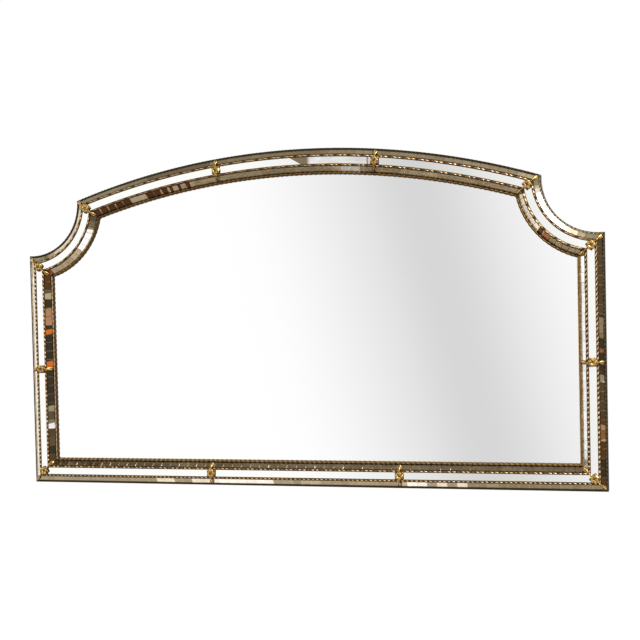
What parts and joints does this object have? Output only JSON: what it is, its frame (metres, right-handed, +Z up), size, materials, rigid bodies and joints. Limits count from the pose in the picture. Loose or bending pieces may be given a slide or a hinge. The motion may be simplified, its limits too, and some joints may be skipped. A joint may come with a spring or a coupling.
{
  "type": "mosaic wall mirror",
  "caption": "Wide wall mirror with an arched top and notched upper corners, framed by bands of small mirror tiles, long mirror strips, beaded brass lines and rose ornaments.",
  "frame": {"origin": "on the back plane of the frame, at the middle of its bottom edge", "axes": "+X to the viewer's right along the frame's width, +Y into the wall, +Z up; the glass faces -Y"},
  "size_m": [1.4, 0.0471, 0.786],
  "materials": {
    "frame_wood": "dark stained, satin",
    "mirror_glass": "polished, silvered behind",
    "mosaic_tile": "antiqued mirror, glossy, mottled olive, brown and cream",
    "brass": "cast, lightly aged and rubbed bright on the raised parts",
    "hanger_steel": "zinc plated",
    "back_board": "plain hardboard, matt",
    "rubber": "matt black"
  },
  "bodies": {
    "frame": {"top_arch_rail": "frame_wood", "left_notch_rail": "frame_wood", "right_notch_rail": "frame_wood", "left_stile": "frame_wood", "right_stile": "frame_wood", "bottom_rail": "frame_wood", "arch_left_mirror_strip": "mirror_glass", "arch_middle_mirror_strip": "mirror_glass", "arch_right_mirror_strip": "mirror_glass", "bottom_left_mirror_strip": "mirror_glass", "bottom_middle_mirror_strip": "mirror_glass", "bottom_right_mirror_strip": "mirror_glass", "left_stile_lower_mirror_strip": "mirror_glass", "left_stile_upper_mirror_strip": "mirror_glass", "right_stile_lower_mirror_strip": "mirror_glass", "right_stile_upper_mirror_strip": "mirror_glass", "left_notch_mirror_strip": "mirror_glass", "right_notch_mirror_strip": "mirror_glass", "main_mirror": "mirror_glass", "top_arch_outer_tiles": "mosaic_tile", "top_arch_inner_tiles": "mosaic_tile", "left_notch_outer_tiles": "mosaic_tile", "left_notch_inner_tiles": "mosaic_tile", "right_notch_outer_tiles": "mosaic_tile", "right_notch_inner_tiles": "mosaic_tile", "left_stile_outer_tiles": "mosaic_tile", "left_stile_inner_tiles": "mosaic_tile", "right_stile_outer_tiles": "mosaic_tile", "right_stile_inner_tiles": "mosaic_tile", "bottom_outer_tiles": "mosaic_tile", "bottom_inner_tiles": "mosaic_tile", "outer_bead": "brass", "outer_rope": "brass", "inner_rope": "brass", "inner_bead": "brass", "arch_left_rose": "brass", "arch_right_rose": "brass", "bottom_left_rose": "brass", "bottom_right_rose": "brass", "left_stile_rose": "brass", "right_stile_rose": "brass", "left_bottom_corner_rose": "brass", "left_shoulder_rose": "brass", "left_peak_rose": "brass", "right_bottom_corner_rose": "brass", "right_shoulder_rose": "brass", "right_peak_rose": "brass", "left_hanger_strap": "hanger_steel", "right_hanger_strap": "hanger_steel", "hanger_screws": "hanger_steel", "back_board_screws": "hanger_steel", "back_board": "back_board", "wall_bumpers": "rubber"},
    "left_ring": {"left_hanger_ring": "hanger_steel"},
    "right_ring": {"right_hanger_ring": "hanger_steel"}
  },
  "joints": [
    {"name": "left_ring_swing", "type": "hinge", "parent": "frame", "child": "left_ring", "pos_m": [-0.679, 0.0031, 0.47], "axis": [1, 0, 0], "range_deg": [0, 180]},
    {"name": "right_ring_swing", "type": "hinge", "parent": "frame", "child": "right_ring", "pos_m": [0.679, 0.0031, 0.47], "axis": [1, 0, 0], "range_deg": [0, 180]}
  ]
}
